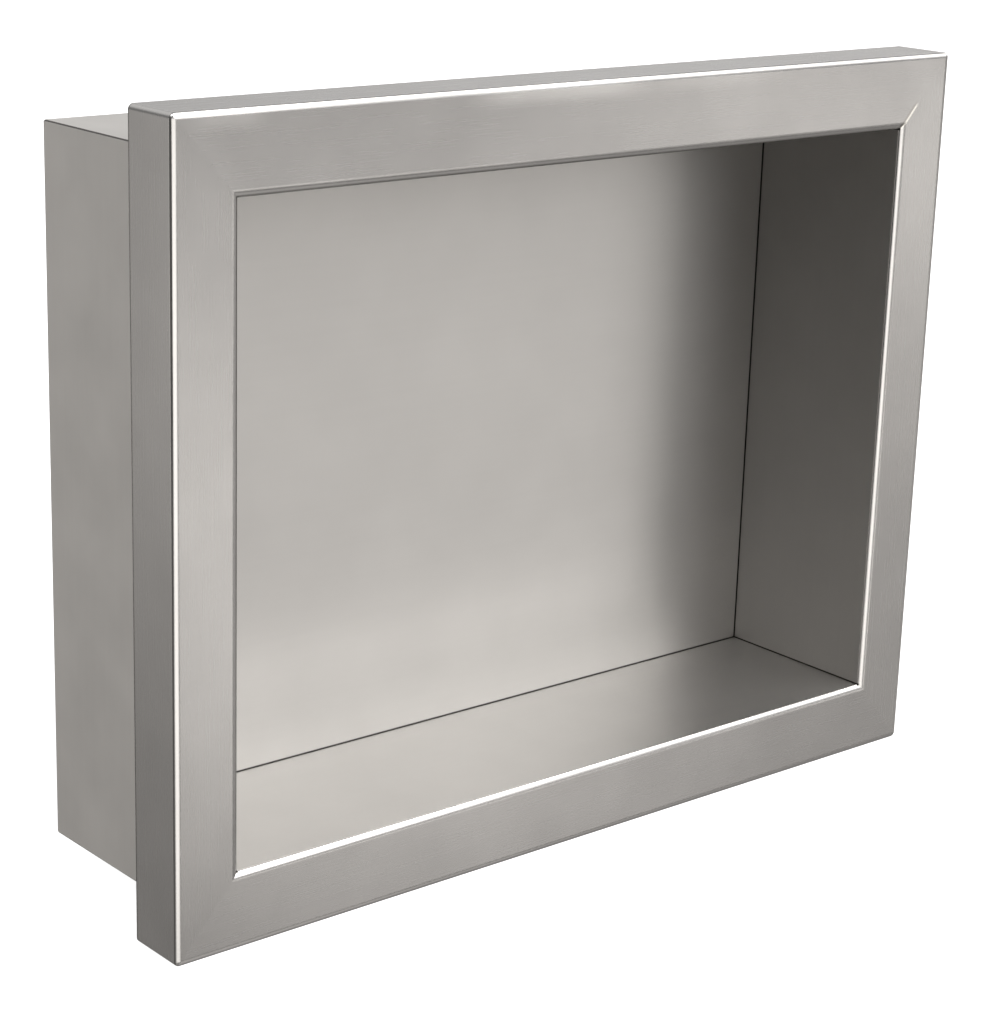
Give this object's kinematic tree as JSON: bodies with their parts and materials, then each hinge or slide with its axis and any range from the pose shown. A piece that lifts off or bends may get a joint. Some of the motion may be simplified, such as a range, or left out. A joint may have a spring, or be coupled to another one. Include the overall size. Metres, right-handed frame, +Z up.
{
  "type": "shower niche insert",
  "caption": "Recessed stainless shower niche with a wide flat face frame, deep return lip, open storage cavity and a plain boxed rear casing.",
  "frame": {"origin": "middle of the plane of the return lip's rear edge, which lies on the finished wall", "axes": "+X to the right seen from the room, +Y into the wall, +Z up"},
  "size_m": [0.356, 0.0922, 0.283],
  "materials": {
    "liner_steel": "satin brushed along each rail",
    "casing_steel": "dull satin"
  },
  "bodies": {
    "root": {"niche_liner": "liner_steel", "outer_casing": "casing_steel"}
  },
  "joints": []
}
